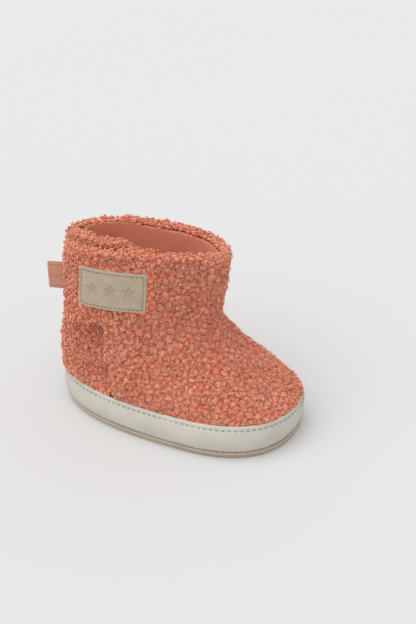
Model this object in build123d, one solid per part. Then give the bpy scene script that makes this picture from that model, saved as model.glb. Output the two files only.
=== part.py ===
from build123d import *
import math
import os

# A baby's teddy-fleece bootie for the right foot, in millimetres.
# +X points to the toe, -Y is the outer (lateral) side, +Z is up, the origin is on the ground under the sole.

# ---- driving dimensions -------------------------------------------------------------------------
OUTSOLE_TOP = 3.5          # suede outsole thickness
RAND_TOP = 17.5            # top edge of the cream leather rand
BOARD_TOP = 4.7            # stitched-in insole board
FOAM_TOP = 8.7             # sole foam
FOOTBED_TOP = 11.0         # jersey-faced footbed
COLLAR_TOP = 90.0          # collar height on the inner side and at the toe
SHELL_TOP = 99.0           # the lofts run past the collar and are trimmed to it

RAND_WALL = 1.3            # leather rand
MARGIN_WALL = 1.3          # fleece seam margin pressed behind the rand
FLEECE = 4.2               # fleece with its curled pile
PADDING_END = 6.0          # inset where the wadding ends
WALL = 7.0                 # whole wall: fleece, wadding, jersey
CAP_HEIGHT = 1.4           # fleece turned over the wadding at the collar
LINING_DROP = 0.7          # jersey stops this far below the collar edge

STRAP_PADDING_END = 5.0    # insets of the strap's thinner layers
STRAP_LINING_END = 5.8
HOOK_TAPE_END = 6.5
HOOK_THREAD_END = 6.7
LOOP_THREAD_START = 7.05
LOOP_TAPE_START = 7.25
RECESS = 7.9               # how far the heel and the underlap lie inside the strap's outer face
HEEL_FLEECE = 3.6          # heel layers, counted from the heel's own outer face
HEEL_PADDING_END = 6.0
HEEL_WALL = 7.0

BODY_GAP = 0.3             # clearance between pieces that move apart
CREASE_GAP = 0.7           # clearance at the crease of the underlap
FOOTBED_GAP = 0.3          # clearance between the footbed and the lining
LAYER_GAP = 0.1            # glue line between layers of one wall
THREAD = 0.3               # how proud the stitching stands
THREAD_HEIGHT = 0.6
TOP_ROW = RAND_TOP - 2.4   # height of the stitch row near the rand's top edge
LOW_ROW = OUTSOLE_TOP + 0.7   # and of the row above the outsole

FOLD_LOW = (-22.0, 23.0)   # (x, z) ends of the line that the side flap folds along
FOLD_HIGH = (8.5, 99.0)
SLIT = [(-22.5, 33.0), (-26.5, 38.0), (-27.0, 54.5)]   # rear edge of the vamp above the fold's foot
STRAP_LOW_BACK = (-80.0, 48.0)                         # the strap's lower edge falls a little to the rear
STRAP_END_OFFSET = -28.6   # the strap ends on the plane x - y = this
FLAP_FOOT = 28.0           # below this the flap stays in front of the crease, clear of the heel
MEDIAL_SEAM_X = -30.0      # vamp-to-heel seam on the inner side
CREASE_X = -22.0           # vertical crease that the underlap folds along
UNDERLAP_FRONT = [(-13.0, 25.0), (-5.5, 99.0)]         # its free front edge

LABEL_CENTRE = (-21.9, 74.1)
LABEL_SIZE = (33.0, 20.8)
LABEL_TILT = -3.0          # degrees, turned clockwise seen from outside
LABEL_WALL = 0.9
LABEL_STITCH_INSET = 1.8

TAB_ROOT = (-51.9, -20.6)  # (x, y) where the folded tape leaves the strap's end
TAB_DIRECTION = 196.0      # degrees in plan, pointing to the rear
TAB_LENGTH = 8.6
TAB_WIDTH = 14.0
TAB_WALL = 2.0
TAB_CENTRE_Z = 72.0

# ---- the upper's lines: outer face, pile included -----------------------------------------------
# height: back x, front x, widest x (lateral), widest x (medial), lateral and medial half width,
# roundness exponent, and how much wider the lateral side is at the back than at the front
LINES = {
    0.0: (-59.0, 61.0, 18.0, 18.0, 35.5, 28.5, 2.4, 0.0),
    3.5: (-61.0, 62.5, 18.0, 18.0, 37.8, 30.0, 2.4, 0.0),
    10.0: (-62.0, 64.0, 18.0, 18.0, 38.8, 31.0, 2.4, 0.0),
    17.5: (-62.0, 64.0, 15.0, 15.0, 37.5, 30.5, 2.4, 0.0),
    22.0: (-63.3, 61.0, 11.0, 12.0, 36.5, 29.5, 2.35, 0.02),
    30.0: (-63.0, 50.0, 4.0, 6.0, 34.5, 27.5, 2.3, 0.1),
    38.0: (-62.0, 36.5, -6.0, -2.0, 32.0, 26.0, 2.2, 0.2),
    45.0: (-61.4, 26.0, -14.0, -7.0, 30.5, 25.0, 2.15, 0.3),
    52.0: (-61.0, 20.5, -18.0, -12.0, 29.5, 24.5, 2.1, 0.36),
    60.0: (-60.2, 21.5, -20.0, -14.0, 29.0, 24.5, 2.1, 0.4),
    74.0: (-58.8, 24.0, -20.0, -14.0, 28.5, 24.5, 2.1, 0.42),
    90.0: (-58.8, 25.7, -20.0, -14.0, 28.0, 24.5, 2.1, 0.42),
    99.0: (-58.8, 25.7, -20.0, -14.0, 28.0, 24.5, 2.1, 0.42),
}
TAPER_SPAN = 40.0          # length over which the lateral taper counts
SECTION_POINTS = 36
EVEN_KNOTS = [j / SECTION_POINTS for j in range(SECTION_POINTS + 1)]   # the same for every section
LEVEL_STEP = 6.0           # spacing of the lofted sections


def smooth(value, low, high):
    """0 below low, 1 above high, a soft step between."""
    u = min(1.0, max(0.0, (value - low) / (high - low)))
    return u * u * (3 - 2 * u)


def monotone_slopes(xs, ys):
    """Slopes of a curve through the stations that never overshoots them."""
    steps = [(ys[i + 1] - ys[i]) / (xs[i + 1] - xs[i]) for i in range(len(xs) - 1)]
    inner = [0.0 if a * b <= 0 else 2 * a * b / (a + b) for a, b in zip(steps, steps[1:])]
    return [steps[0]] + inner + [steps[-1]]


HEIGHTS = sorted(LINES)
COLUMNS = list(zip(*(LINES[height] for height in HEIGHTS)))
SLOPES = [monotone_slopes(HEIGHTS, column) for column in COLUMNS]


def line_value(column, z):
    """Value and slope of one of the upper's lines at a height."""
    i = max(j for j, height in enumerate(HEIGHTS[:-1]) if height <= z or j == 0)
    h = HEIGHTS[i + 1] - HEIGHTS[i]
    u = (z - HEIGHTS[i]) / h
    a, b = COLUMNS[column][i], COLUMNS[column][i + 1]
    p, q = SLOPES[column][i] * h, SLOPES[column][i + 1] * h
    value = a + p * u + (3 * (b - a) - 2 * p - q) * u**2 + (p + q - 2 * (b - a)) * u**3
    slope = (p + 2 * (3 * (b - a) - 2 * p - q) * u + 3 * (p + q - 2 * (b - a)) * u**2) / h
    return value, slope


def outline_point(z, angle, inset):
    """Point of the wall at a height; the angle is 0 at the toe, 90 medial, 180 heel, 270 lateral."""
    back, front, wide_lat, wide_med, half_lat, half_med, power, taper = [line_value(i, z)[0] for i in range(8)]
    toe_slope = min(2.2, math.hypot(1.0, line_value(1, z)[1]))
    c = math.cos(math.radians(angle))
    s = math.sin(math.radians(angle))
    wide = wide_lat if s < 0 else wide_med
    reach = front - inset * toe_slope - wide if c > 0 else wide - back - inset
    x = wide + math.copysign(reach * abs(c) ** (2 / power), c)
    if s < 0:
        y = -half_lat * abs(s) ** (2 / power) * (1 - taper * (x - wide_lat) / TAPER_SPAN) + inset * abs(s) ** (2 / power)
    else:
        y = (half_med - inset) * abs(s) ** (2 / power)
    return x, y, z


def heel_recess(angle, z):
    """How far the heel piece lies inside the outer face, so that it passes under the strap."""
    under_strap = smooth(angle, 190, 210)
    in_slit = smooth(angle, 200, 248)
    raised = smooth(z, 43, 51)
    around = (in_slit + (under_strap - in_slit) * raised) * (1 - smooth(angle, 300, 352))
    return RECESS * around * smooth(z, 18, 27)


def loft_between(z_low, z_high, inset, heel=False):
    """Closed solid inside the outline, pulled in by the inset, between two heights."""
    count = max(3, math.ceil((z_high - z_low) / LEVEL_STEP) + 1)
    wires = []
    for k in range(count):
        z = z_low + (z_high - z_low) * k / (count - 1)
        points = []
        for j in range(SECTION_POINTS):
            angle = 360 * j / SECTION_POINTS
            pull = inset + (heel_recess(angle, z) if heel else 0.0)
            points.append(outline_point(z, angle, pull))
        section = Edge.make_spline([Vector(*p) for p in points], periodic=True, parameters=EVEN_KNOTS)
        wires.append(Wire([section]))
    return Solid.make_loft(wires)


SHELLS = {}


def shell(inset, heel=False):
    """The whole upper's inside at an inset, above the rand; made once and shared by its layers."""
    if (inset, heel) not in SHELLS:
        SHELLS[(inset, heel)] = loft_between(RAND_TOP, SHELL_TOP, inset, heel)
    return SHELLS[(inset, heel)]


def ring(outer, inner, z_low, z_high):
    return loft_between(z_low, z_high, outer) - loft_between(z_low, z_high, inner)


def side_prism(points, y_low, y_high):
    """Prism with an outline in the side view, given as (x, z) points."""
    face = make_face(Polyline(*[(x, y_high, z) for x, z in points], close=True).edges())
    return extrude(face, amount=y_high - y_low, dir=(0, -1, 0))


def block(x, y, z):
    """Box from three (low, high) pairs."""
    size = [high - low for low, high in (x, y, z)]
    centre = [(high + low) / 2 for low, high in (x, y, z)]
    return Pos(*centre) * Box(*size)


FAR = 90.0                 # beyond every surface


def above_rim(drop, ends, crown):
    """Everything above the collar line, lowered by drop; the lateral side arches up to its crown."""
    (x0, z0), (x1, z1) = ends
    arc = ThreePointArc((x0, 0, z0 - drop), (crown[0], 0, crown[1] - drop), (x1, 0, z1 - drop))
    corners = Polyline((x1, 0, z1 - drop), (FAR, 0, COLLAR_TOP - drop), (FAR, 0, 130), (-FAR, 0, 130),
                       (-FAR, 0, COLLAR_TOP - drop), (x0, 0, z0 - drop))
    lateral = extrude(make_face(arc.edges() + corners.edges()), amount=FAR, dir=(0, -1, 0))
    return lateral + block((-FAR, FAR), (0, FAR), (COLLAR_TOP - drop, 130))


def front_rim(drop=0.0):
    return above_rim(drop, ((-62.0, 91.0), (26.0, COLLAR_TOP)), (-25.0, 93.8))


def heel_rim(drop=0.0):
    return above_rim(drop, ((-62.0, COLLAR_TOP), (26.0, COLLAR_TOP)), (-30.0, 95.5))


def fold_prism(shift):
    """Lateral side in front of the fold line, moved along x by shift."""
    low = (FOLD_LOW[0] + shift, FOLD_LOW[1])
    high = (FOLD_HIGH[0] + shift, FOLD_HIGH[1])
    return side_prism([(low[0], 0), low, high, (FAR, SHELL_TOP), (FAR, 0)], -FAR, 0)


def vamp_region():
    return fold_prism(BODY_GAP) + block((MEDIAL_SEAM_X, FAR), (0, FAR), (0, SHELL_TOP))


def heel_region():
    lateral = block((-FAR, CREASE_X), (-FAR, 0), (0, SHELL_TOP))
    return lateral + block((-FAR, MEDIAL_SEAM_X), (0, FAR), (0, SHELL_TOP))


def strap_region():
    outline = [FOLD_LOW, FOLD_HIGH, (-FAR, SHELL_TOP), STRAP_LOW_BACK] + SLIT[::-1]
    panel = side_prism(outline, -FAR, -5)
    cutter = Pos(STRAP_END_OFFSET, 0, 50) * Rot(0, 0, -45) * Pos(-FAR / 2, 0, 0) * Box(FAR, 4 * FAR, 200)
    foot = block((-FAR, CREASE_X + LAYER_GAP), (-FAR, 0), (0, FLAP_FOOT))
    return panel - cutter - foot


def underlap_region():
    start = CREASE_X + CREASE_GAP
    outline = [(start, 25.0)] + UNDERLAP_FRONT + [(start, SHELL_TOP)]
    return side_prism(outline, -FAR, 0)


def tape_region(x_low, x_high, z_low, z_high, border=0.0):
    return block((x_low + border, x_high - border), (-FAR, -8), (z_low + border, z_high - border))


def label_region(border=0.0):
    x, z = LABEL_CENTRE
    plate = Box(LABEL_SIZE[0] - 2 * border, FAR, LABEL_SIZE[1] - 2 * border)
    return Pos(x, -FAR / 2 - 8, z) * Rot(0, -LABEL_TILT, 0) * plate


def upper_layers(region, rim, heel, fleece, padding_end, wall):
    """Fleece, wadding and jersey of one panel, with their margins behind the rand."""
    lid = rim()
    low_padding = rim(CAP_HEIGHT)
    low_lining = rim(LINING_DROP)
    fleece_end = fleece - LAYER_GAP
    wadding_end = padding_end - LAYER_GAP
    margin_end = RAND_WALL + MARGIN_WALL
    core = shell(fleece_end, heel) - rim(CAP_HEIGHT - LAYER_GAP)
    fleece_part = (shell(0.0, heel) - shell(wadding_end, heel) - core) & region
    fleece_part -= lid
    fleece_part += ring(RAND_WALL + LAYER_GAP, margin_end, BOARD_TOP, RAND_TOP) & region
    padding_part = (shell(fleece, heel) - shell(wadding_end, heel)) & region
    padding_part -= low_padding
    padding_part += ring(margin_end + LAYER_GAP, wadding_end, FOAM_TOP, RAND_TOP) & region
    lining_part = (shell(padding_end, heel) - shell(wall, heel)) & region
    lining_part -= low_lining
    lining_part += ring(padding_end, wall, FOAM_TOP, RAND_TOP) & region
    return fleece_part, padding_part, lining_part


def layer(outer, inner, region, rim):
    """One loose layer of the wall between two insets, with its glue line."""
    return ((shell(outer + LAYER_GAP) - shell(inner)) & region) - rim


def make_sole():
    parts = {}
    parts["outsole"] = loft_between(0.0, OUTSOLE_TOP, 0.0)
    parts["insole_board"] = loft_between(OUTSOLE_TOP, BOARD_TOP, RAND_WALL + LAYER_GAP)
    parts["sole_foam"] = loft_between(BOARD_TOP, FOAM_TOP, RAND_WALL + MARGIN_WALL + LAYER_GAP)
    parts["footbed"] = loft_between(FOAM_TOP, FOOTBED_TOP, WALL + FOOTBED_GAP)
    parts["rand"] = ring(0.0, RAND_WALL, OUTSOLE_TOP, RAND_TOP)
    around_rand = loft_between(OUTSOLE_TOP, RAND_TOP, -LAYER_GAP)
    for name, row in (("rand_stitching", TOP_ROW), ("outsole_stitching", LOW_ROW)):
        parts[name] = loft_between(row, row + THREAD_HEIGHT, -LAYER_GAP - THREAD) - around_rand
    return parts


def make_upper():
    parts = {}
    vamp = upper_layers(vamp_region(), front_rim, False, FLEECE, PADDING_END, WALL)
    heel = upper_layers(heel_region(), heel_rim, True, HEEL_FLEECE, HEEL_PADDING_END, HEEL_WALL)
    for name, solids in (("vamp", vamp), ("heel", heel)):
        for kind, solid in zip(("fleece", "padding", "lining"), solids):
            parts[f"{name}_{kind}"] = solid
    return parts


def make_underlap():
    region = underlap_region()
    lid = heel_rim(0.4)
    edges = [RECESS, RECESS + HEEL_FLEECE, RECESS + HEEL_PADDING_END, RECESS + HEEL_WALL]
    names = ["underlap_fleece", "underlap_padding", "underlap_lining"]
    return {name: layer(a, b, region, lid) for name, a, b in zip(names, edges, edges[1:])}


def make_strap():
    region = strap_region()
    lid = front_rim()
    parts = {}
    parts["strap_fleece"] = layer(0.0, FLEECE, region, lid)
    parts["strap_padding"] = layer(FLEECE, STRAP_PADDING_END, region, lid)
    parts["strap_lining"] = layer(STRAP_PADDING_END, STRAP_LINING_END, region, lid)
    hook = (-46.0, -29.0, 58.0, 87.0)
    loop = (-45.0, -25.0, 57.0, 88.5)
    parts["hook_tape"] = layer(STRAP_LINING_END, HOOK_TAPE_END, tape_region(*hook), lid)
    parts["loop_tape"] = layer(LOOP_TAPE_START, RECESS - LAYER_GAP, tape_region(*loop), lid)
    hook_frame = tape_region(*hook, 1.4) - tape_region(*hook, 2.0)
    loop_frame = tape_region(*loop, 1.4) - tape_region(*loop, 2.0)
    parts["hook_tape_stitching"] = layer(HOOK_TAPE_END, HOOK_THREAD_END, hook_frame, lid)
    parts["loop_tape_stitching"] = layer(LOOP_THREAD_START, LOOP_TAPE_START, loop_frame, lid)
    parts["label_patch"] = layer(-LABEL_WALL, 0.0, label_region(), lid)
    frame = label_region(LABEL_STITCH_INSET) - label_region(LABEL_STITCH_INSET + 0.5)
    parts["label_stitching"] = layer(-LABEL_WALL - THREAD, -LABEL_WALL, frame, lid)
    tab = Pos(TAB_LENGTH / 2, 0, 0) * Box(TAB_LENGTH, TAB_WALL, TAB_WIDTH)
    parts["pull_tab"] = Pos(*TAB_ROOT, TAB_CENTRE_Z) * Rot(0, 0, TAB_DIRECTION) * tab
    return parts


def main():
    os.makedirs("parts", exist_ok=True)
    for group in (make_sole, make_upper, make_underlap, make_strap):
        for name, solid in group().items():
            solid.label = name
            export_step(solid, f"parts/{name}.step")


main()
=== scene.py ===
import math

import bmesh
import bpy
import numpy as np
from mathutils import Matrix, Vector
from mathutils.bvhtree import BVHTree
from mathutils.kdtree import KDTree


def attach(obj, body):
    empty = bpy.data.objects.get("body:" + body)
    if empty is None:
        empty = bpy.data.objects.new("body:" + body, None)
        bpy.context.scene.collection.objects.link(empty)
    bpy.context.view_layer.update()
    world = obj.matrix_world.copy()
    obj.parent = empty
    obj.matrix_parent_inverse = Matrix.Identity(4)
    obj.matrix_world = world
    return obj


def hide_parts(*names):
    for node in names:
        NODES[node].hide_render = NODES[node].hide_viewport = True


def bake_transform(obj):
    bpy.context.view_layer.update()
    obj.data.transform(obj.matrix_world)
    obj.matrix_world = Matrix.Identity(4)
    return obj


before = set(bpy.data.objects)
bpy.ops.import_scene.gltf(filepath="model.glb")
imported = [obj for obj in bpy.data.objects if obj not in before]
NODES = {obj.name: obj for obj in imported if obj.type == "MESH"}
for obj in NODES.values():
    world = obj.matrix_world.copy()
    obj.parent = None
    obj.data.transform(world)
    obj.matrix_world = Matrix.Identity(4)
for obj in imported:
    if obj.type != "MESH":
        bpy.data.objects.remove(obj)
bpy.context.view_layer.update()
MM = 0.001
SCENE = bpy.context.scene

# ---- sizes -------------------------------------------------------------------------------------------
ROLL_LEVEL = {"front": 87.2 * MM, "heel": 88.0 * MM}   # the fleece turns in over the rim down to here
FOLD_FOOT = np.array((-22.0, 0.0, 23.0)) * MM          # foot of the line the side flap folds along
FOLD_ACROSS = np.array((-0.928, 0.0, 0.372))           # across that line, towards the flap
FOLD_START, FOLD_END = -9.0 * MM, 2.0 * MM
CREASE_START, CREASE_END = -30.0 * MM, -23.0 * MM      # x range over which the inner flap bends
LATERAL = -8.0 * MM                                    # y below this is the outer side
RAND_TOP = 17.5 * MM
LABEL_CENTRE = (-21.9 * MM, 74.1 * MM)
LABEL_SIZE = (33.0 * MM, 20.8 * MM)
LABEL_TILT = math.radians(-3)


# ---- mesh helpers ------------------------------------------------------------------------------------
def arrays(mesh):
    """Vertices and triangles of a mesh."""
    mesh.calc_loop_triangles()
    points = np.empty(len(mesh.vertices) * 3, np.float32)
    mesh.vertices.foreach_get("co", points)
    faces = np.empty(len(mesh.loop_triangles) * 3, np.int32)
    mesh.loop_triangles.foreach_get("vertices", faces)
    return points.reshape(-1, 3).astype(float), faces.reshape(-1, 3)


def node(name):
    return arrays(NODES[name].data)


def join(parts):
    points, faces, offset = [], [], 0
    for part in parts:
        points.append(part[0])
        faces.append(part[1] + offset)
        offset += len(part[0])
    return np.concatenate(points), np.concatenate(faces)


def new_object(name, points, faces, attributes=None):
    mesh = bpy.data.meshes.new(name)
    count, corners = faces.shape
    mesh.vertices.add(len(points))
    mesh.vertices.foreach_set("co", np.asarray(points, np.float32).ravel())
    mesh.loops.add(count * corners)
    mesh.loops.foreach_set("vertex_index", np.asarray(faces, np.int32).ravel())
    mesh.polygons.add(count)
    mesh.polygons.foreach_set("loop_start", np.arange(0, count * corners, corners, dtype=np.int32))
    mesh.update(calc_edges=True)
    mesh.validate()
    mesh.polygons.foreach_set("use_smooth", np.ones(len(mesh.polygons), bool))
    for key, values in (attributes or {}).items():
        mesh.attributes.new(key, "FLOAT", "POINT").data.foreach_set("value", np.asarray(values, np.float32))
    made = bpy.data.objects.new(name, mesh)
    SCENE.collection.objects.link(made)
    return made


def modified(points, faces, change):
    """Runs one modifier on the mesh and returns the result as vertices and triangles."""
    work = new_object("work", points, faces)
    change(work)
    shown = work.evaluated_get(bpy.context.evaluated_depsgraph_get())
    result = arrays(shown.to_mesh())
    shown.to_mesh_clear()
    mesh = work.data
    bpy.data.objects.remove(work)
    bpy.data.meshes.remove(mesh)
    return result


def remeshed(parts, voxel):
    def change(work):
        modifier = work.modifiers.new("voxels", "REMESH")
        modifier.mode = "VOXEL"
        modifier.voxel_size = voxel
    points, faces = join(parts)
    return modified(points, faces, change)


def thinned(points, faces, hidden, share):
    """Collapses the hidden part of the mesh to that share of its triangles."""
    def change(work):
        group = work.vertex_groups.new(name="hidden")
        group.add(np.flatnonzero(hidden).tolist(), 1.0, "REPLACE")
        modifier = work.modifiers.new("thin", "DECIMATE")
        modifier.vertex_group = "hidden"
        modifier.vertex_group_factor = 10
        modifier.use_collapse_triangulate = True
        part = hidden[faces].all(axis=1).mean()
        modifier.ratio = 1 - part * (1 - share)
    return modified(points, faces, change)


def relaxed(points, faces, rounds, amount=0.5):
    start, end = faces.ravel(), np.roll(faces, -1, axis=1).ravel()
    count = np.maximum(np.bincount(start, minlength=len(points)), 1)
    for _ in range(rounds):
        sums = [np.bincount(start, points[end, axis], minlength=len(points)) for axis in range(3)]
        points = points + amount * (np.stack(sums, 1) / count[:, None] - points)
    return points


def unit(vectors):
    return vectors / np.maximum(np.linalg.norm(vectors, axis=-1, keepdims=True), 1e-12)


def normals_of(points, faces):
    a, b, c = (points[faces[:, corner]] for corner in range(3))
    face = np.cross(b - a, c - a)
    total = np.zeros_like(points)
    for corner in range(3):
        for axis in range(3):
            total[:, axis] += np.bincount(faces[:, corner], face[:, axis], minlength=len(points))
    return unit(total)


def part_of(points, faces, keep, attributes):
    """The faces marked by keep, with the vertices they use."""
    faces = faces[keep]
    used, flat = np.unique(faces, return_inverse=True)
    return points[used], flat.reshape(faces.shape), {key: value[used] for key, value in attributes.items()}


def tree_of(parts):
    points, faces = join(parts)
    return BVHTree.FromPolygons(points.tolist(), faces.tolist())


def distances(tree, points):
    return np.array([tree.find_nearest(point)[3] for point in points.tolist()])


def waves(points, size, seed, terms=7):
    """Smooth seeded noise of about -1 to 1 whose bumps are about size wide."""
    rng = np.random.default_rng(seed)
    total = np.zeros(len(points))
    for _ in range(terms):
        wave = unit(rng.normal(size=3)) * math.pi / size * rng.uniform(0.7, 1.4)
        total += np.sin(points @ wave + rng.uniform(0, 2 * math.pi))
    return total / math.sqrt(terms)


def cut(name, level, above):
    """The part of a CAD solid above or below a level, closed again."""
    mesh = bmesh.new()
    mesh.from_mesh(NODES[name].data)
    bmesh.ops.remove_doubles(mesh, verts=mesh.verts, dist=1e-6)
    everything = mesh.verts[:] + mesh.edges[:] + mesh.faces[:]
    bmesh.ops.bisect_plane(mesh, geom=everything, dist=1e-7, plane_co=(0, 0, level), plane_no=(0, 0, 1),
                           clear_inner=above, clear_outer=not above)
    bmesh.ops.holes_fill(mesh, edges=[edge for edge in mesh.edges if edge.is_boundary], sides=0)
    bmesh.ops.triangulate(mesh, faces=mesh.faces)
    whole = bpy.data.meshes.new("cut")
    mesh.to_mesh(whole)
    mesh.free()
    result = arrays(whole)
    bpy.data.meshes.remove(whole)
    return result


def shifted(part, chosen, move):
    """The part with the vertices that chosen picks moved along x."""
    points = part[0].copy()
    points[chosen(points), 0] += move
    return points, part[1]


def fold_distance(points):
    return (points - FOLD_FOOT) @ FOLD_ACROSS


def on_flap(points):
    return (fold_distance(points) > FOLD_START) & (points[:, 1] < LATERAL)


def on_underlap(points):
    return (points[:, 0] > CREASE_START) & (points[:, 1] < 0)


def strap_joined(part):
    """A strap solid with its edge at the fold moved forward, into the vamp's."""
    return shifted(part, lambda p: abs(fold_distance(p)) < 0.3 * MM, 0.9 * MM)


def underlap_joined(part):
    """An inner-flap solid with its edge at the crease moved back, into the heel's."""
    return shifted(part, lambda p: p[:, 0] < -21.0 * MM, -1.2 * MM)


def heel_joined(part, move):
    """A heel solid with its front edge on the inner side moved forward."""
    return shifted(part, lambda p: (p[:, 0] > -30.6 * MM) & (p[:, 1] > 5 * MM), move)


# ---- materials ---------------------------------------------------------------------------------------
class Paint:
    """A node material with helpers for colour variation and bump."""

    def __init__(self, name, color, roughness, **values):
        self.material = bpy.data.materials.new(name)
        self.material.use_nodes = True
        self.tree = self.material.node_tree
        self.bsdf = self.tree.nodes["Principled BSDF"]
        self.color = (*color, 1)
        self.bsdf.inputs["Base Color"].default_value = self.color
        self.bsdf.inputs["Roughness"].default_value = roughness
        for key, value in values.items():
            self.bsdf.inputs[key.replace("_", " ")].default_value = value
        self.bump = None

    def add(self, kind, **inputs):
        made = self.tree.nodes.new("ShaderNode" + kind)
        for key, value in inputs.items():
            made.inputs[key.replace("_", " ")].default_value = value
        return made

    def link(self, start, end):
        self.tree.links.new(start, end)

    def noise(self, size, detail=3.0, stretch=(1, 1, 1), roughness=0.6):
        where = self.add("TexCoord")
        mapping = self.add("Mapping", Scale=tuple(1 / (size * part) for part in stretch))
        texture = self.add("TexNoise", Scale=1.0, Detail=detail, Roughness=roughness)
        self.link(where.outputs["Object"], mapping.inputs["Vector"])
        self.link(mapping.outputs["Vector"], texture.inputs["Vector"])
        return texture.outputs["Fac"]

    def attribute(self, name):
        made = self.add("Attribute")
        made.attribute_name = name
        return made.outputs["Fac"]

    def vary(self, factor, color, low=0.3, high=0.7, most=1.0):
        """Mixes the colour so far with another one as factor goes from low to high."""
        ranged = self.add("MapRange")
        ranged.inputs["From Min"].default_value = low
        ranged.inputs["From Max"].default_value = high
        ranged.inputs["To Max"].default_value = most
        self.link(factor, ranged.inputs["Value"])
        mix = self.add("Mix")
        mix.data_type = "RGBA"
        self.link(ranged.outputs["Result"], mix.inputs["Factor"])
        base = self.bsdf.inputs["Base Color"]
        if base.is_linked:
            self.link(base.links[0].from_socket, mix.inputs[6])
        else:
            mix.inputs[6].default_value = self.color
        mix.inputs[7].default_value = (*color, 1)
        self.link(mix.outputs[2], base)

    def emboss(self, height, distance, strength=1.0):
        bump = self.add("Bump", Strength=strength, Distance=distance)
        self.link(height, bump.inputs["Height"])
        if self.bump:
            self.link(self.bump.outputs["Normal"], bump.inputs["Normal"])
        self.bump = bump
        self.link(bump.outputs["Normal"], self.bsdf.inputs["Normal"])


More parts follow.
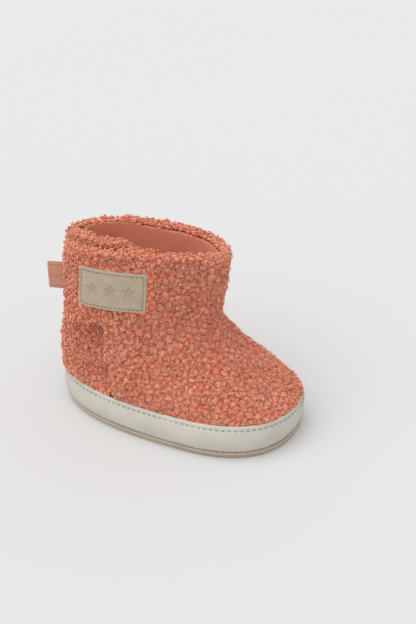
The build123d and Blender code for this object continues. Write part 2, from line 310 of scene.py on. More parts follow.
def make_materials():
    made = {}
    fleece = Paint("fleece", (0.80, 0.243, 0.139), 0.95, Sheen_Weight=0.35, Sheen_Roughness=0.45,
                   Sheen_Tint=(1.0, 0.72, 0.62, 1), Specular_IOR_Level=0.15, Subsurface_Weight=0.45,
                   Subsurface_Radius=(1.0, 0.45, 0.3), Subsurface_Scale=1.2 * MM)
    fleece.vary(fleece.noise(14 * MM, 2), (0.86, 0.296, 0.178), 0.35, 0.7)
    fleece.vary(fleece.attribute("tone"), (1.0, 0.50, 0.36), 0.2, 1.0, 0.9)
    # painted shade: dark red mixed in over the crevices between nubs and towards the curl roots
    fleece.vary(fleece.attribute("painted_shade"), (0.50, 0.11, 0.055), 0.15, 0.9)
    fleece.emboss(fleece.noise(0.42 * MM, 2), 0.22 * MM, 0.6)
    made["fleece"] = fleece
    wadding = Paint("wadding", (0.66, 0.36, 0.27), 0.95, Sheen_Weight=0.3)
    wadding.vary(wadding.noise(3 * MM), (0.58, 0.29, 0.21))
    wadding.emboss(wadding.noise(0.6 * MM, 4, (1, 1, 3)), 0.3 * MM, 0.8)
    made["wadding"] = wadding
    jersey = Paint("jersey", (0.70, 0.25, 0.157), 0.9, Sheen_Weight=0.45, Sheen_Roughness=0.4,
                   Sheen_Tint=(1.0, 0.75, 0.65, 1), Specular_IOR_Level=0.15)
    jersey.vary(jersey.noise(9 * MM, 3), (0.63, 0.215, 0.13))
    jersey.vary(jersey.noise(0.5 * MM, 2, (1, 1, 2.6)), (0.77, 0.30, 0.20), 0.4, 0.7, 0.6)
    jersey.emboss(jersey.noise(0.5 * MM, 2, (1, 1, 2.6)), 0.12 * MM, 0.7)
    made["jersey"] = jersey
    leather = Paint("rand_leather", (0.57, 0.548, 0.48), 0.52, Specular_IOR_Level=0.35, Coat_Weight=0.05)
    leather.vary(leather.noise(12 * MM), (0.51, 0.485, 0.415), 0.4, 0.75)
    # painted shade: darker in the pinch at the rand's foot, along the stitch channel and on its turned-in
    # top
    leather.vary(leather.attribute("painted_shade"), (0.32, 0.29, 0.23), 0.2, 1.0)
    leather.emboss(leather.noise(0.9 * MM, 4), 0.07 * MM, 0.6)
    made["rand_leather"] = leather
    sole = Paint("sole_suede", (0.54, 0.44, 0.325), 0.9, Sheen_Weight=0.25, Specular_IOR_Level=0.2)
    sole.vary(sole.noise(6 * MM, 4), (0.47, 0.375, 0.275))
    # painted shade: darker in the sole's groove and where it meets the rand
    sole.vary(sole.attribute("painted_shade"), (0.20, 0.15, 0.10), 0.2, 1.0)
    sole.emboss(sole.noise(0.5 * MM, 4), 0.14 * MM, 0.8)
    made["sole_suede"] = sole
    board = Paint("board", (0.60, 0.56, 0.48), 0.9)
    board.vary(board.noise(1.5 * MM, 4), (0.50, 0.46, 0.38))
    board.emboss(board.noise(0.5 * MM, 4), 0.1 * MM)
    made["board"] = board
    foam = Paint("foam", (0.75, 0.72, 0.66), 0.9)
    foam.vary(foam.noise(0.8 * MM, 2), (0.60, 0.57, 0.50))
    foam.emboss(foam.noise(0.7 * MM, 2), 0.25 * MM)
    made["foam"] = foam
    for name, color in (("cream_thread", (0.36, 0.33, 0.27)), ("coral_thread", (0.55, 0.21, 0.14)),
                        ("label_thread", (0.24, 0.20, 0.14))):
        thread = Paint(name, color, 0.7, Sheen_Weight=0.2)
        thread.vary(thread.noise(0.5 * MM, 2), tuple(0.7 * part for part in color))
        thread.emboss(thread.noise(0.3 * MM, 1, (1, 1, 1)), 0.06 * MM)
        made[name] = thread
    label = Paint("label_suede", (0.47, 0.385, 0.285), 0.85, Sheen_Weight=0.3, Specular_IOR_Level=0.2)
    label.vary(label.noise(4 * MM, 4), (0.41, 0.33, 0.24))
    # painted shade in the sunken seam line and the debossed stars
    label.vary(label.attribute("painted_shade"), (0.36, 0.29, 0.205), 0.1, 1.0)
    label.emboss(label.noise(0.45 * MM, 4), 0.1 * MM, 0.8)
    made["label_suede"] = label
    ribbed = Paint("grosgrain", (0.57, 0.25, 0.165), 0.75, Sheen_Weight=0.25)
    # painted shade in the rib valleys, with darker lines along the middle and near both edges of the tape
    ribbed.vary(ribbed.attribute("painted_shade"), (0.36, 0.12, 0.075), 0.2, 1.0)
    ribbed.vary(ribbed.noise(0.4 * MM, 1, (1, 1, 0.4)), (0.68, 0.34, 0.25), 0.45, 0.7, 0.5)
    ribbed.emboss(ribbed.noise(0.3 * MM, 1), 0.05 * MM)
    made["grosgrain"] = ribbed
    hooks = Paint("hook_tape", (0.52, 0.20, 0.13), 0.55)
    hooks.vary(hooks.noise(0.6 * MM, 1), (0.40, 0.14, 0.09))
    hooks.emboss(hooks.noise(0.35 * MM, 1), 0.1 * MM)
    made["hook_tape"] = hooks
    loops = Paint("loop_tape", (0.55, 0.21, 0.14), 0.95, Sheen_Weight=0.6, Sheen_Tint=(1.0, 0.75, 0.65, 1))
    loops.vary(loops.noise(0.7 * MM, 3), (0.45, 0.155, 0.10))
    loops.emboss(loops.noise(0.3 * MM, 3), 0.15 * MM)
    made["loop_tape"] = loops
    return {name: paint.material for name, paint in made.items()}


MATERIALS = make_materials()


def dress(made, slot, body=None, nodes=()):
    """Gives a piece the material of its slot and its body, and hides the CAD nodes it stands for."""
    made.data.materials.clear()
    made.data.materials.append(MATERIALS[slot])
    if body:
        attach(made, body)
    if nodes:
        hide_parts(*nodes)
    return made


def ride_boot(made):
    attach(made, "boot")


def bend_flap(made):
    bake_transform(made)


def bend_underlap(made):
    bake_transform(made)


# ---- threads -----------------------------------------------------------------------------------------
def tubes(path, thick, axis, sides):
    """Closed tubes along many paths at once: path is (n, steps, 3), thick (n, steps), axis (n, 3)."""
    count, steps = thick.shape
    way = unit(np.gradient(path, axis=1))
    first = unit(np.cross(way, axis[:, None]))
    second = np.cross(way, first)
    turn = np.arange(sides) * 2 * math.pi / sides
    points = (path[:, :, None] + thick[:, :, None, None]
              * (np.cos(turn)[:, None] * first[:, :, None] + np.sin(turn)[:, None] * second[:, :, None]))
    one = []
    for s in range(steps - 1):
        for k in range(sides):
            a, b = s * sides + k, s * sides + (k + 1) % sides
            one += [(a, b, b + sides), (a, b + sides, a + sides)]
    last = (steps - 1) * sides
    for k in range(1, sides - 1):
        one += [(0, k + 1, k), (last, last + k, last + k + 1)]
    faces = np.array(one)[None] + (np.arange(count) * steps * sides)[:, None, None]
    return points.reshape(-1, 3), faces.reshape(-1, 3)


def curls(centres, normals, rng, size, wire, turns, lift, lean, steps=10, sides=3,
          tones=(0.2, 1.0), crevice_shades=0.0):
    """A coiled thread at each centre, as one mesh. Tones is a range to draw from, or one for each curl."""
    count = len(centres)
    side = unit(np.cross(normals, rng.normal(size=(count, 3))))
    axis = unit(normals + side * rng.uniform(0, lean, (count, 1)))
    across = unit(np.cross(axis, rng.normal(size=(count, 3))))
    along = np.cross(axis, across)
    step = np.linspace(0, 1, steps)
    ring = rng.uniform(*size, (count, 1)) * (1 - 0.55 * step)
    angle = rng.uniform(0, 2 * math.pi, (count, 1)) + 2 * math.pi * rng.uniform(*turns, (count, 1)) * step
    angle = angle * rng.choice((-1, 1), (count, 1))
    rise = rng.uniform(*lift, (count, 1)) * step
    path = (centres[:, None] + (ring * np.cos(angle))[..., None] * across[:, None]
            + (ring * np.sin(angle))[..., None] * along[:, None] + rise[..., None] * axis[:, None])
    path += rng.normal(scale=0.1 * wire, size=path.shape)
    thick = wire * rng.uniform(0.75, 1.2, (count, 1)) * np.sin(math.pi * (0.1 + 0.8 * step)) ** 0.6
    points, faces = tubes(path, thick, axis, sides)
    tone = np.repeat(rng.uniform(*tones, count) if len(tones) == 2 else tones, steps * sides)
    # painted shade on each curl: darker towards its foot, and darker still where it grows in a crevice
    curl_shade = 0.6 * np.broadcast_to(crevice_shades, count)[:, None] + 0.3 * (1 - step)
    painted_shade = np.repeat(np.clip(curl_shade, 0, 1), sides, axis=1).ravel()
    return points, faces, {"tone": tone, "painted_shade": painted_shade}


# ---- fleece ------------------------------------------------------------------------------------------
NUB_GAP = (1.9 * MM, 3.2 * MM)
NUB_HEIGHT = (0.9 * MM, 1.8 * MM)
CURL_GAP = (0.95 * MM, 1.5 * MM)
CURL_SIZE = (0.55 * MM, 1.10 * MM)
CURL_WIRE = 0.38 * MM
CURL_LIFT = 0.30 * MM                  # the foot of a curl above the nub it grows on
BURIED = RAND_TOP - 3.5 * MM           # fleece below this height is behind the rand


def label_frame(points):
    """Coordinates of points in the label's own axes, from its centre."""
    x, z = points[:, 0] - LABEL_CENTRE[0], points[:, 2] - LABEL_CENTRE[1]
    return (x * math.cos(LABEL_TILT) + z * math.sin(LABEL_TILT),
            -x * math.sin(LABEL_TILT) + z * math.cos(LABEL_TILT))


def under_label(points, margin):
    u, v = label_frame(points)
    return ((abs(u) < LABEL_SIZE[0] / 2 + margin) & (abs(v) < LABEL_SIZE[1] / 2 + margin)
            & (points[:, 1] < LATERAL * 2))


def spread(points, chosen, gaps, rng):
    """Indices of chosen points that keep a random gap from each other."""
    index = np.flatnonzero(chosen)
    tree = KDTree(len(index))
    for place, i in enumerate(index):
        tree.insert(points[i], place)
    tree.balance()
    free = np.ones(len(index), bool)
    picked = []
    for place in rng.permutation(len(index)):
        if free[place]:
            picked.append(index[place])
            for _, near, _ in tree.find_range(points[index[place]], rng.uniform(*gaps)):
                free[near] = False
    return np.array(picked)


def pile(points, faces, hidden, flat, rng):
    """Raises the nubs of the fleece. Returns the new points, attributes, and the places for curls."""
    normals = normals_of(points, faces)
    centres = spread(points, ~hidden, NUB_GAP, rng)
    tree = KDTree(len(centres))
    for place, i in enumerate(centres):
        tree.insert(points[i], place)
    tree.balance()
    warp = np.stack([waves(points, 1.6 * MM, seed) for seed in (11, 12, 13)], 1) * 0.28 * MM
    height = rng.uniform(*NUB_HEIGHT, len(centres))
    shown = np.flatnonzero(~hidden)
    found = [tree.find_n(point, 2) for point in (points + warp)[shown].tolist()]
    first = np.array([pair[0][1] for pair in found])
    near, far = (np.array([pair[k][2] for pair in found]) for k in (0, 1))
    edge = np.clip(2 * near / (near + far), 0, 1)
    dome = np.sqrt(1 - 0.98 * edge ** 2.0)
    raised = height[first] * dome - NUB_HEIGHT[1]
    move = np.zeros(len(points))
    move[shown] = raised
    move = move * (1 - flat) - 0.35 * MM * flat
    # painted shade for the crevices between nubs: 0 on a nub's top, rising towards 1 at its edge
    painted_shade = np.zeros(len(points))
    painted_shade[shown] = (1 - dome) ** 0.8
    tone = np.zeros(len(points))
    shade = rng.beta(2, 2, len(centres)) * 0.9
    tone[shown] = shade[first] * 0.8
    outward = np.zeros_like(points)
    outward[shown] = unit((points + warp)[shown] - points[centres][first]) * (
        0.20 * MM * np.sin(math.pi * np.clip(edge, 0, 1)))[:, None]
    result = points + normals * move[:, None] + outward * (1 - flat)[:, None]
    places = spread(result, ~hidden & (flat < 0.5) & (painted_shade < 0.8), CURL_GAP, rng)
    facing = normals_of(result, faces)[places]
    tones = np.clip(0.55 * tone[places] + rng.uniform(0.1, 0.6, len(places)), 0, 1)
    roots = result[places] + facing * CURL_LIFT
    return result, {"painted_shade": painted_shade, "tone": tone}, (roots, facing, tones, painted_shade[places])


def flatness(points):
    """1 where the rand lies on the fleece and 0 where its pile is free."""
    return 1 - np.clip((points[:, 2] - (RAND_TOP - 0.8 * MM)) / (1.6 * MM), 0, 1)


def fleece_layer(parts, backing, level, voxel=0.55 * MM):
    points, faces = remeshed(parts, voxel)
    points = relaxed(points, faces, 26)
    tree = tree_of(backing)
    below = level - 1.2 * MM
    hidden = (distances(tree, points) < 0.75 * MM) & (points[:, 2] < below)
    points, faces = thinned(points, faces, hidden | (points[:, 2] < BURIED), 0.10)
    hidden = (distances(tree, points) < 0.8 * MM) & (points[:, 2] < below)
    hidden |= points[:, 2] < BURIED
    return points, faces, hidden


def lowered(part):
    """The part with the top of the inner flap drawn down towards its free edge, under the outer rim."""
    points = part[0].copy()
    along = np.clip((points[:, 0] + 24 * MM) / (12 * MM), 0, 1) * (points[:, 1] < 0)
    upper = np.clip((points[:, 2] - 60 * MM) / (25 * MM), 0, 1)
    points[:, 2] -= 4.2 * MM * along * along * (3 - 2 * along) * upper
    return points, part[1]


def in_chunks(name, places, chosen, rng, finish, most=3400):
    """Curls on the chosen places, in pieces of at most that many."""
    centres, normals, tones, crevice_shades = (part[chosen] for part in places)
    order = np.argsort(centres[:, 0] + 0.3 * centres[:, 2])
    made = []
    parts = max(1, math.ceil(len(order) / most))
    for number, group in enumerate(np.array_split(order, parts)):
        mesh = curls(centres[group], normals[group], rng, CURL_SIZE, CURL_WIRE, (0.9, 1.5),
                     (0.1 * MM, 0.7 * MM), 1.3, 10, 3, tones[group], crevice_shades[group])
        piece = new_object(f"{name}_curls_{number + 1}" if parts > 1 else f"{name}_curls", *mesh)
        dress(piece, "fleece")
        finish(piece)
        made.append(piece)
    return made


def build_front(rng):
    strap = strap_joined(node("strap_fleece"))
    tops = [cut(name, ROLL_LEVEL["front"], True) for name in
            ("vamp_padding", "vamp_lining", "strap_padding", "strap_lining")]
    backing = [node(name) for name in ("vamp_padding", "strap_padding")]
    points, faces, hidden = fleece_layer([node("vamp_fleece"), strap] + tops, backing, ROLL_LEVEL["front"])
    flat = np.maximum(flatness(points), under_label(points, 0.2 * MM))
    points, facts, places = pile(points, faces, hidden, flat, rng)
    centres = places[0]
    middle = points[faces].mean(axis=1)
    moving, side = on_flap(middle), on_flap(centres)
    free = (centres[:, 2] > RAND_TOP + 0.6 * MM) & ~under_label(centres, 0.9 * MM)
    vamp = new_object("front_panel", *part_of(points, faces, ~moving, facts))
    dress(vamp, "fleece", "boot", ["vamp_fleece"])
    vamp_curls = in_chunks("front_panel", places, ~side & free, rng, ride_boot)
    flap = new_object("side_flap", *part_of(points, faces, moving, facts))
    dress(flap, "fleece", None, ["strap_fleece"])
    bend_flap(flap)
    flap_curls = in_chunks("side_flap", places, side & free, rng, bend_flap)


def build_heel(rng):
    heel = heel_joined(node("heel_fleece"), 1.8 * MM)
    underlap = underlap_joined(node("underlap_fleece"))
    tops = [cut(name, ROLL_LEVEL["heel"], True) for name in
            ("heel_padding", "heel_lining", "underlap_padding", "underlap_lining")]
    underlap, *tops = (lowered(part) for part in [underlap] + tops)
    backing = [node(name) for name in ("heel_padding", "underlap_padding")]
    points, faces, hidden = fleece_layer([heel, underlap] + tops, backing, ROLL_LEVEL["heel"])
    points, facts, places = pile(points, faces, hidden, flatness(points), rng)
    centres = places[0]
    middle = points[faces].mean(axis=1)
    moving, side = on_underlap(middle), on_underlap(centres)
    free = centres[:, 2] > RAND_TOP + 0.6 * MM
    back = new_object("heel_panel", *part_of(points, faces, ~moving, facts))
    dress(back, "fleece", "boot", ["heel_fleece"])
    back_curls = in_chunks("heel_panel", places, ~side & free, rng, ride_boot)
    inner = new_object("inner_flap", *part_of(points, faces, moving, facts))
    dress(inner, "fleece", None, ["underlap_fleece"])
    bend_underlap(inner)
    inner_curls = in_chunks("inner_flap", places, side & free, rng, bend_underlap)


def build_fleece():
    rng = np.random.default_rng(5)
    build_front(rng)
    build_heel(rng)


def build_fuzz():
    """A few loose fibres that stand out of the pile."""
    rng = np.random.default_rng(17)
    for name, finish in (("front_panel", ride_boot), ("heel_panel", ride_boot), ("side_flap", bend_flap)):
        points, faces = arrays(bpy.data.objects[name].data)
        normals = normals_of(points, faces)
        painted_shade = np.empty(len(points), np.float32)
        bpy.data.objects[name].data.attributes["painted_shade"].data.foreach_get("value", painted_shade)
        chosen = (painted_shade > 0.002) & (painted_shade < 0.25) & (points[:, 2] > RAND_TOP + 2 * MM)
        chosen &= ~under_label(points, 1.5 * MM)
        places = spread(points, chosen, (3.5 * MM, 7.0 * MM), rng)
        mesh = curls(points[places] + normals[places] * 1.0 * MM, normals[places], rng, (0.7 * MM, 1.5 * MM),
                     0.11 * MM, (0.6, 1.3), (0.2 * MM, 1.2 * MM), 2.5, 12, 3, (0.6, 1.0))
        fuzz = new_object(f"{name}_fuzz", *mesh)
        dress(fuzz, "fleece")
        finish(fuzz)


# ---- linings, wadding and footbed ----------------------------------------------------------------------
def soft_layer(parts, voxel, rounds, inset, wave, wave_size, seed):
    points, faces = remeshed(parts, voxel)
    points = relaxed(points, faces, rounds)
    move = waves(points, wave_size, seed) * wave - inset
    points += normals_of(points, faces) * move[:, None]
    zero = np.zeros(len(points))
    return points, faces, {"painted_shade": zero, "tone": zero}


def build_pairs():
    """Each lining and wadding as one soft layer, split where its flap part begins."""
    for kind, slot, voxel, rounds, inset, wave in (("lining", "jersey", 0.6, 10, 0.0, 0.12),
                                                   ("padding", "wadding", 0.7, 4, 0.45, 0.05)):
        for fixed, loose, level, bend in (("vamp", "strap", ROLL_LEVEL["front"], bend_flap),
                                          ("heel", "underlap", ROLL_LEVEL["heel"], bend_underlap)):
            below = level + (0.9 * MM if kind == "lining" else -2.5 * MM)
            first, second = cut(f"{fixed}_{kind}", below, False), cut(f"{loose}_{kind}", below, False)
            if fixed == "vamp":
                second = strap_joined(second)
            else:
                second = underlap_joined(second)
                first = heel_joined(first, 1.6 * MM)
            points, faces, facts = soft_layer([first, second], voxel * MM, rounds, inset * MM, wave * MM,
                                              11 * MM, 31)
            middle = points[faces].mean(axis=1)
            moving = on_flap(middle) if fixed == "vamp" else on_underlap(middle)
            still = new_object(f"{fixed}_{kind}_soft", *part_of(points, faces, ~moving, facts))
            dress(still, slot, "boot", [f"{fixed}_{kind}"])
            bent = new_object(f"{loose}_{kind}_soft", *part_of(points, faces, moving, facts))
            dress(bent, slot, None, [f"{loose}_{kind}"])
            bend(bent)


def build_footbed():
    for name, slot, fill, wave in (("footbed", "jersey", 0.7, 0.25), ("sole_foam", "foam", 1.0, 0.05)):
        points, faces, facts = soft_layer([node(name)], 0.8 * MM, 8, 0.0, wave * MM, 18 * MM, 41)
        piece = new_object(f"{name}_soft", points, faces, facts)
        dress(piece, slot, "boot", [name])


# ---- rand, outsole and their stitches ------------------------------------------------------------------
COLUMNS = 960              # around the foot
STITCH_PITCH = 3.0 * MM
STITCH_HEIGHT = 16.0 * MM
STITCH_LOW = 4.5 * MM


def outline_angles(tree, z):
    """Angles, seen from the middle of the foot, that divide the outline into equal lengths."""
    angles = np.linspace(0, 2 * math.pi, 1441)
    ring = cast_outline(tree, z, angles)
    length = np.concatenate([[0], np.cumsum(np.linalg.norm(np.diff(ring, axis=0), axis=1))])
    return np.interp(np.arange(COLUMNS) / COLUMNS * length[-1], length, angles), length[-1]


def cast_outline(tree, z, angles):
    ring = []
    for angle in angles:
        way = Vector((math.cos(angle), math.sin(angle), 0))
        ring.append(tree.ray_cast(way * 0.2 + Vector((0, 0, z)), -way)[0][:])
    return np.array(ring)


def outward_of(ring):
    """The level direction out of a closed ring at each of its points."""
    side = unit(np.roll(ring, -1, axis=0) - np.roll(ring, 1, axis=0))
    return np.stack([side[:, 1], -side[:, 0], np.zeros(len(ring))], 1)


class Wall:
    """The outer face of a CAD band round the foot, as outlines at any height."""

    def __init__(self, name, heights, angles):
        tree = tree_of([node(name)])
        self.heights = np.array(heights)
        self.rings = np.array([cast_outline(tree, z, angles) for z in heights])

    def ring(self, z, out):
        """Outline at height z, moved outwards by out (a number or one for each column)."""
        place = np.interp(z, self.heights, np.arange(len(self.heights)))
        low = min(int(place), len(self.heights) - 2)
        ring = self.rings[low] + (self.rings[low + 1] - self.rings[low]) * (place - low)
        moved = ring + outward_of(ring) * np.broadcast_to(out, len(ring))[:, None]
        moved[:, 2] = z
        return moved


def skin(rows, close):
    """Triangles between closed rings, and from the last ring back to the first if close is set."""
    count, columns = len(rows), len(rows[0])
    faces = []
    k = np.arange(columns)
    for r in range(count if close else count - 1):
        a, b = r * columns + k, r * columns + (k + 1) % columns
        c, d = ((r + 1) % count) * columns + (k + 1) % columns, ((r + 1) % count) * columns + k
        faces += [np.stack([a, b, c], 1), np.stack([a, c, d], 1)]
    return np.concatenate(rows), np.concatenate(faces)


def dashes(ring_at, length, pitch, share, wire, out, steps=6, sides=6):
    """A row of sunken stitches. ring_at gives points and outward directions at lengths along the row."""
    count = int(round(length / pitch))
    step = np.linspace(0, 1, steps)
    places = (np.arange(count)[:, None] + (0.5 - share / 2) + share * step[None]) * length / count
    path, outward = ring_at(places.ravel())
    path, outward = path.reshape(count, steps, 3), outward.reshape(count, steps, 3)
    path = path + outward * (out * (1 - 1.9 * abs(2 * step - 1) ** 3))[None, :, None]
    thick = np.broadcast_to(wire * (1 - 0.45 * abs(2 * step - 1) ** 2), (count, steps))
    points, faces = tubes(path, thick, outward[:, steps // 2 - 1], sides)
    return points, faces, {"painted_shade": np.zeros(len(points)), "tone": np.zeros(len(points))}


def row_on(wall, z, length, out):
    """A function for dashes() that follows the wall at height z."""
    ring = wall.ring(z, out)
    outward = outward_of(ring)
    stations = np.arange(COLUMNS + 1) / COLUMNS * length

    def along(values, places):
        return np.stack([np.interp(places, stations, np.append(part, part[0])) for part in values.T], 1)

    def at(places):
        return along(ring, places), unit(along(outward, places))
    return at


def build_rand(angles, length):
    wall = Wall("rand", np.array((3.6, 5, 7, 9, 11, 13, 15, 16.5, 17.4)) * MM, angles)
    along = np.arange(COLUMNS) / COLUMNS * length
    count = round(length / STITCH_PITCH)
    beat = 0.5 + 0.5 * np.cos(2 * math.pi * along / (length / count))
    rows, painted_shades = [], []
    heights = (np.linspace(3.45, 4.6, 5), np.linspace(5.2, 14.2, 12), np.linspace(14.6, 17.4, 9))
    for z in np.concatenate(heights) * MM:
        v = (z - 3.5 * MM) / (14 * MM)
        bulge = 0.42 * MM * max(0.0, math.sin(math.pi * min(1, max(0, v)))) ** 0.7
        pinch = math.exp(-((z - 3.45 * MM) / (0.45 * MM)) ** 2)
        channel = math.exp(-((z - STITCH_HEIGHT) / (0.45 * MM)) ** 2)
        pucker = math.exp(-((z - STITCH_HEIGHT) / (1.1 * MM)) ** 2)
        base = wall.ring(z, 0.0)
        gather = waves(base * (1, 1, 0.35), 7 * MM, 51) * 0.10 * MM * (0.4 + v)
        gather += waves(base, 25 * MM, 52) * 0.12 * MM
        out = bulge - 0.35 * MM * pinch - 0.15 * MM * channel - 0.13 * MM * pucker * beat + gather
        rows.append(wall.ring(z, out))
        # painted shade in the pinch at the foot of the rand and in the stitch channel
        painted_shades.append(np.full(COLUMNS, 0.8 * pinch + 0.22 * channel))
    for out, z in ((-0.25, 17.75), (-0.6, 17.85), (-1.0, 17.7), (-1.2, 17.3), (-1.2, 10.0), (-1.2, 3.6)):
        rows.append(wall.ring(z * MM, out * MM + waves(rows[-1], 7 * MM, 51) * 0.05 * MM))
        # painted shade on the turned-in top and inner face of the rand
        painted_shades.append(np.full(COLUMNS, 0.15))
    points, faces = skin(rows, True)
    painted_shade = np.concatenate(painted_shades)
    rand = new_object("rand_band", points, faces[:, ::-1], {"painted_shade": painted_shade, "tone": painted_shade * 0})
    dress(rand, "rand_leather", "boot", ["rand"])
    top = new_object("rand_stitches", *dashes(row_on(wall, STITCH_HEIGHT, length, 0.05 * MM), length,
                                              STITCH_PITCH, 0.62, 0.27 * MM, 0.16 * MM))
    dress(top, "cream_thread", "boot", ["rand_stitching"])
    low = new_object("outsole_stitches", *dashes(row_on(wall, STITCH_LOW, length, 0.05 * MM), length,
                                                 STITCH_PITCH, 0.66, 0.26 * MM, 0.12 * MM))
    dress(low, "cream_thread", "boot", ["outsole_stitching"])


def build_outsole(angles):
    base = Wall("outsole", np.array((0.15, 0.8, 1.6, 2.4, 3.35)) * MM, angles)
    rows, painted_shades = [], []
    # Profile rows: height, outward offset and painted shade (darkest in the groove round the middle and
    # where the outsole meets the rand).
    profile = ((3.42, -3.0, 0.3), (3.44, -1.0, 0.6), (3.40, 0.0, 0.4), (3.2, 0.35, 0.1), (2.8, 0.62, 0),
               (2.3, 0.75, 0), (1.95, 0.72, 0.3), (1.8, 0.55, 0.9), (1.65, 0.8, 0.3), (1.35, 1.0, 0),
               (0.8, 1.05, 0), (0.35, 0.8, 0), (0.1, 0.3, 0.1), (0.0, -0.6, 0.1), (0.0, -4.0, 0))
    for z, out, painted_shade in profile:
        ring = base.ring(max(z, 0.15) * MM, out * MM)
        ring[:, 2] = z * MM
        rows.append(ring)
        painted_shades.append(np.full(COLUMNS, painted_shade))
    upper, under = rows[0], rows[-1]
    for ring, parts in ((under, (0.8, 0.6, 0.4, 0.2, 0.02)), (upper, (0.02, 0.5, 0.85))):
        for part in parts:
            rows.append(ring * (part, part, 1))
            painted_shades.append(np.zeros(COLUMNS))
    points, faces = skin(rows, True)
    painted_shade = np.concatenate(painted_shades)
    sole = new_object("outsole_suede", points, faces, {"painted_shade": painted_shade, "tone": painted_shade * 0})
    dress(sole, "sole_suede", "boot", ["outsole"])


def build_sole():
    angles, length = outline_angles(tree_of([node("rand")]), 10 * MM)
    build_rand(angles, length)
    build_outsole(angles)


# ---- label -------------------------------------------------------------------------------------------
def label_points(u, v, tree):
    x = LABEL_CENTRE[0] + u * math.cos(LABEL_TILT) - v * math.sin(LABEL_TILT)
    z = LABEL_CENTRE[1] + u * math.sin(LABEL_TILT) + v * math.cos(LABEL_TILT)
    found = [tree.ray_cast(Vector((a, -0.08, b)), Vector((0, 1, 0))) for a, b in zip(x.ravel(), z.ravel())]
    return np.array([hit[0][:] for hit in found]), np.array([hit[1][:] for hit in found])


def stars(u, v):
    """1 inside a row of three five-pointed stars."""
    inside = np.zeros_like(u)
    for centre in (-8.5 * MM, 0.0, 8.5 * MM):
        radius = np.hypot(u - centre, v)
        point = np.abs((np.arctan2(u - centre, v) / (2 * math.pi / 5) + 0.5) % 1 - 0.5) * 2
        limit = (3.4 - 1.9 * point) * MM
        inside = np.maximum(inside, np.clip((limit - radius) / (0.35 * MM) + 0.5, 0, 1))
    return inside


def build_label():
    tree = tree_of([node("label_patch")])
    half = np.array(LABEL_SIZE) / 2 - 0.1 * MM
    columns, lines = 112, 70
    s, t = np.meshgrid(np.linspace(-1, 1, columns), np.linspace(-1, 1, lines))
    corner = 1 - 0.012 * (abs(s) ** 12) * (abs(t) ** 12)
    u, v = s * half[0] * corner, t * half[1] * corner
    points, normals = label_points(u * 0.992, v * 0.992, tree)
    edge = np.minimum(half[0] - abs(u), half[1] - abs(v)).ravel()
    seam = np.exp(-((edge - 1.6 * MM) / (0.45 * MM)) ** 2)
    star = stars(u.ravel(), v.ravel())
    low = (0.45 * MM * np.clip(1 - edge / (0.5 * MM), 0, 1) ** 2 + 0.20 * MM * seam + 0.28 * MM * star
           - 0.10 * MM * waves(points, 9 * MM, 61))
    front = points - normals * low[:, None]
    back = points - normals * 1.1 * MM
    grid = np.arange(columns * lines).reshape(lines, columns)
    a, b, c, d = (part.ravel() for part in (grid[:-1, :-1], grid[:-1, 1:], grid[1:, 1:], grid[1:, :-1]))
    faces = np.concatenate([np.stack([a, b, c], 1), np.stack([a, c, d], 1)])
    loop = np.concatenate([grid[0], grid[1:, -1], grid[-1, -2::-1], grid[-2:0:-1, 0]])
    after, size = np.roll(loop, -1), columns * lines
    rim = np.concatenate([np.stack([loop, loop + size, after + size], 1),
                          np.stack([loop, after + size, after], 1)])
    faces = np.concatenate([faces, faces[:, ::-1] + size, rim])
    # painted shade in the sunken seam line and the debossed stars
    painted_shade = np.concatenate([np.clip(0.35 * seam + 0.75 * star, 0, 1), np.zeros(size)])
    label = new_object("label", np.concatenate([front, back]), faces, {"painted_shade": painted_shade, "tone": painted_shade * 0})
    dress(label, "label_suede", "strap", ["label_patch"])
    inset = half - 1.6 * MM
    corners = np.array([(-1, -1), (1, -1), (1, 1), (-1, 1), (-1, -1)]) * inset
    lengths = np.concatenate([[0], np.cumsum(np.linalg.norm(np.diff(corners, axis=0), axis=1))])

    def at(places):
        u, v = (np.interp(places, lengths, corners[:, axis]) for axis in (0, 1))
        path, outward = label_points(u, v, tree)
        return path - outward * 0.14 * MM, outward
    stitches = new_object("label_stitches", *dashes(at, lengths[-1], 2.05 * MM, 0.62, 0.19 * MM, 0.12 * MM))
    dress(stitches, "label_thread", "strap", ["label_stitching"])


# ---- pull tab and tapes ------------------------------------------------------------------------------
TAB_ROOT = np.array((-51.9, -20.6, 72.0)) * MM
TAB_DIRECTION = math.radians(196)
TAB_LENGTH = 8.6 * MM
TAB_HALF_WIDTH = 6.9 * MM
TAPE_WALL = 0.62 * MM
TAB_RIB = 0.85 * MM
TAB_BEND = 0.62 * MM       # radius of the fold at the tab's free end, to the middle of the tape


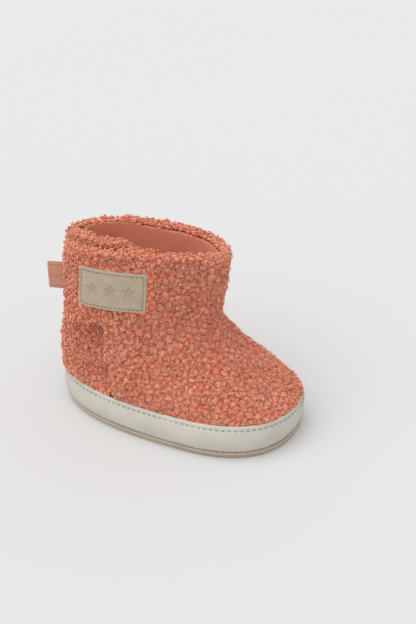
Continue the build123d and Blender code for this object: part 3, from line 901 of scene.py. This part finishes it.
def build_tab():
    out = np.array((math.cos(TAB_DIRECTION), math.sin(TAB_DIRECTION), 0))
    side = np.array((-out[1], out[0], 0))
    straight = TAB_LENGTH - TAB_BEND - TAPE_WALL / 2
    reach = np.linspace(-2.5 * MM, straight, 60)
    bend = np.linspace(-math.pi / 2, math.pi / 2, 12)[1:-1]
    turn = [(straight + TAB_BEND * math.cos(a), TAB_BEND * math.sin(a)) for a in bend]
    path = np.array([(x, -TAB_BEND) for x in reach] + turn + [(x, TAB_BEND) for x in reach[::-1]])
    way = unit(np.gradient(path, axis=0))
    face = np.stack([way[:, 1], -way[:, 0]], 1)
    run = np.concatenate([[0], np.cumsum(np.linalg.norm(np.diff(path, axis=0), axis=1))])
    rib = 0.5 + 0.5 * np.cos(2 * math.pi * run / TAB_RIB)
    levels = np.linspace(-1, 1, 41)
    rows, painted_shades = [], []
    for sign in (1, -1):
        for level in levels * sign:
            edge = 1 - 0.5 * abs(level) ** 24
            wall = (TAPE_WALL / 2 - 0.13 * MM * (1 - rib)) * edge
            flat = path + face * (wall * sign)[:, None]
            lift = 0.25 * MM * math.sin(2.2 * level + 0.5)
            point = (TAB_ROOT + flat[:, :1] * out + (flat[:, 1:] + lift * (flat[:, :1] / TAB_LENGTH)) * side
                     + np.array((0, 0, TAB_HALF_WIDTH * level)))
            rows.append(point)
            # painted shade in the rib valleys, plus darker lines near both edges and along the middle of the
            # tape
            painted_shades.append(0.45 * (1 - rib) + 0.5 * math.exp(-((abs(level) - 0.82) / 0.07) ** 2)
                        + 0.35 * math.exp(-(level / 0.10) ** 2))
    count, columns = len(rows), len(path)
    faces = []
    k = np.arange(columns - 1)
    for r in range(count):
        a, d = r * columns + k, ((r + 1) % count) * columns + k
        faces += [np.stack([a, a + 1, d + 1], 1), np.stack([a, d + 1, d], 1)]
    for end, turned in ((0, 1), (columns - 1, -1)):
        r = np.arange(1, count - 1) * columns + end
        faces.append(np.stack([np.full(count - 2, end), r, r + columns], 1)[:, ::turned])
    painted_shade = np.clip(np.concatenate(painted_shades), 0, 1)
    tab = new_object("pull_tab_tape", np.concatenate(rows), np.concatenate(faces),
                     {"painted_shade": painted_shade, "tone": painted_shade * 0})
    dress(tab, "grosgrain", None, ["pull_tab"])
    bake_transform(tab)


def build_tapes():
    rng = np.random.default_rng(71)
    for name, slot, body, facing, size, wire, turns, lean, gap in (
            ("hook_tape", "hook_tape", "strap", 1, (0.28, 0.36), 0.07, (0.45, 0.6), 0.1, (0.95, 1.05)),
            ("loop_tape", "loop_tape", "boot", -1, (0.35, 0.65), 0.07, (0.8, 1.6), 1.6, (0.7, 1.0))):
        points, faces = remeshed([node(name)], 0.35 * MM)
        points = relaxed(points, faces, 3)
        normals = normals_of(points, faces)
        zero = np.zeros(len(points))
        tape = new_object(f"{name}_cloth", points, faces, {"painted_shade": zero, "tone": zero})
        dress(tape, slot, body, [name])
        places = spread(points, normals[:, 1] * facing > 0.5, tuple(part * MM for part in gap), rng)
        mesh = curls(points[places], normals[places], rng, tuple(part * MM for part in size), wire * MM,
                     turns, (0.0, 0.1 * MM), lean, 8, 3)
        pile_piece = new_object(f"{name}_pile", *mesh)
        dress(pile_piece, slot, body)


build_fleece()
build_fuzz()
for name, slot in (("insole_board", "board"), ("hook_tape_stitching", "coral_thread"),
                   ("loop_tape_stitching", "coral_thread")):
    NODES[name].data.materials.clear()
    NODES[name].data.materials.append(MATERIALS[slot])
build_pairs()
build_footbed()
build_sole()
build_label()
build_tab()
build_tapes()

# ---- camera: long lens from the front of the bootie's outer side, looking down -----------------------
CAMERA_AZIMUTH = 25.1      # degrees
CAMERA_ELEVATION = 28.9
CAMERA_DISTANCE = 0.631
CAMERA_LENS = 73.66
AIM_HEIGHT = 0.045
FRAME_SHIFT = (0.01368, 0.00738)   # how far the camera slides right and up from the aim line


def add_camera():
    azimuth, elevation = math.radians(CAMERA_AZIMUTH), math.radians(CAMERA_ELEVATION)
    back = Vector((math.sin(azimuth) * math.cos(elevation), -math.cos(azimuth) * math.cos(elevation),
                   math.sin(elevation)))
    right = Vector((math.cos(azimuth), math.sin(azimuth), 0))
    up = back.cross(right)
    data = bpy.data.cameras.new("camera")
    data.lens = CAMERA_LENS
    data.sensor_width = 36
    camera = bpy.data.objects.new("camera", data)
    camera.matrix_world = Matrix((right, up, back)).transposed().to_4x4()
    camera.location = (Vector((0, 0, AIM_HEIGHT)) + back * CAMERA_DISTANCE
                       + right * FRAME_SHIFT[0] + up * FRAME_SHIFT[1])
    SCENE.collection.objects.link(camera)
    SCENE.camera = camera


def add_stage():
    floor = new_object("floor", np.array([(-4, -4, 0), (4, -4, 0), (4, 4, 0), (-4, 4, 0)], float),
                       np.array([(0, 1, 2, 3)]))
    paint = Paint("floor", (0.672, 0.672, 0.672), 1.0, Specular_IOR_Level=0.0)
    paint.vary(paint.noise(0.5, 2), (0.668, 0.668, 0.668))
    floor.data.materials.append(paint.material)
    data = bpy.data.lights.new("overhead", "SUN")
    data.energy = 1.65
    data.angle = math.radians(75)
    lamp = bpy.data.objects.new("overhead", data)
    lamp.rotation_euler = Vector((-0.25, -0.45, 1.0)).to_track_quat("Z", "Y").to_euler()
    SCENE.collection.objects.link(lamp)
    world = bpy.data.worlds.new("studio")
    SCENE.world = world
    world.use_nodes = True
    world.node_tree.nodes["Background"].inputs["Color"].default_value = (1, 1, 1, 1)
    world.node_tree.nodes["Background"].inputs["Strength"].default_value = 0.755
    SCENE.view_settings.view_transform = "Standard"


add_camera()
add_stage()
